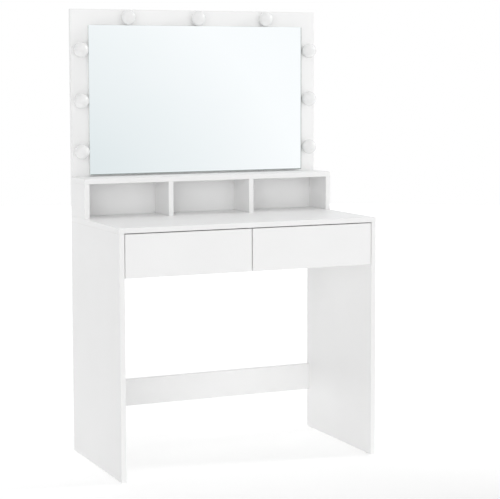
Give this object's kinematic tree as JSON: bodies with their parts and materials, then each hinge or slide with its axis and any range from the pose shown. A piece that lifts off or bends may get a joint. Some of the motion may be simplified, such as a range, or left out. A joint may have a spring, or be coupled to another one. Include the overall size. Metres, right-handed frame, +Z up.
{
  "type": "vanity table with mirror",
  "caption": "White vanity table with flush drawers, an open hutch and a mirror board edged with round lamps.",
  "frame": {"origin": "on the floor under the middle of the table", "axes": "+Z up, -Y towards the sitter, +X to the sitter's right when facing the mirror"},
  "size_m": [0.8, 0.425, 1.325],
  "materials": {
    "white_melamine": "satin white melamine on particle board",
    "mirror_glass": "silvered float glass, polished edge",
    "opal_plastic": "opal diffuser, satin gloss, unlit",
    "lamp_base_plastic": "moulded white",
    "cable_sheath": "smooth white sheath",
    "black_plastic": "fine spark-eroded texture",
    "glide_plastic": "smooth moulded",
    "hardboard": "white-faced hardboard",
    "zinc_steel": "zinc-plated rolled steel"
  },
  "bodies": {
    "table": {"left_side_panel": "white_melamine", "right_side_panel": "white_melamine", "table_top": "white_melamine", "rear_stretcher": "white_melamine", "rear_rail": "white_melamine", "drawer_partition": "white_melamine", "hutch_left_side": "white_melamine", "hutch_left_divider": "white_melamine", "hutch_right_divider": "white_melamine", "hutch_right_side": "white_melamine", "hutch_top": "white_melamine", "mirror_board": "white_melamine", "mirror_carrier": "white_melamine", "left_front_glide": "glide_plastic", "left_rear_glide": "glide_plastic", "right_front_glide": "glide_plastic", "right_rear_glide": "glide_plastic", "mirror_glass": "mirror_glass", "lamp_globe_left_1": "opal_plastic", "lamp_base_left_1": "lamp_base_plastic", "lamp_globe_left_2": "opal_plastic", "lamp_base_left_2": "lamp_base_plastic", "lamp_globe_left_3": "opal_plastic", "lamp_base_left_3": "lamp_base_plastic", "lamp_globe_top_1": "opal_plastic", "lamp_base_top_1": "lamp_base_plastic", "lamp_globe_top_2": "opal_plastic", "lamp_base_top_2": "lamp_base_plastic", "lamp_globe_top_3": "opal_plastic", "lamp_base_top_3": "lamp_base_plastic", "lamp_globe_right_1": "opal_plastic", "lamp_base_right_1": "lamp_base_plastic", "lamp_globe_right_2": "opal_plastic", "lamp_base_right_2": "lamp_base_plastic", "lamp_globe_right_3": "opal_plastic", "lamp_base_right_3": "lamp_base_plastic", "lamp_cable": "cable_sheath", "power_inlet": "black_plastic", "left_drawer_left_rail": "zinc_steel", "left_drawer_right_rail": "zinc_steel", "right_drawer_left_rail": "zinc_steel", "right_drawer_right_rail": "zinc_steel"},
    "left_drawer": {"left_drawer_front": "white_melamine", "left_drawer_back": "white_melamine", "left_drawer_left_wall": "white_melamine", "left_drawer_right_wall": "white_melamine", "left_drawer_bottom": "hardboard", "left_drawer_left_runner": "zinc_steel", "left_drawer_right_runner": "zinc_steel"},
    "right_drawer": {"right_drawer_front": "white_melamine", "right_drawer_back": "white_melamine", "right_drawer_left_wall": "white_melamine", "right_drawer_right_wall": "white_melamine", "right_drawer_bottom": "hardboard", "right_drawer_left_runner": "zinc_steel", "right_drawer_right_runner": "zinc_steel"}
  },
  "joints": [
    {"name": "left_drawer_slide", "type": "slide", "parent": "table", "child": "left_drawer", "axis": [0, -1, 0], "range_m": [0, 0.25]},
    {"name": "right_drawer_slide", "type": "slide", "parent": "table", "child": "right_drawer", "axis": [0, -1, 0], "range_m": [0, 0.25]}
  ]
}
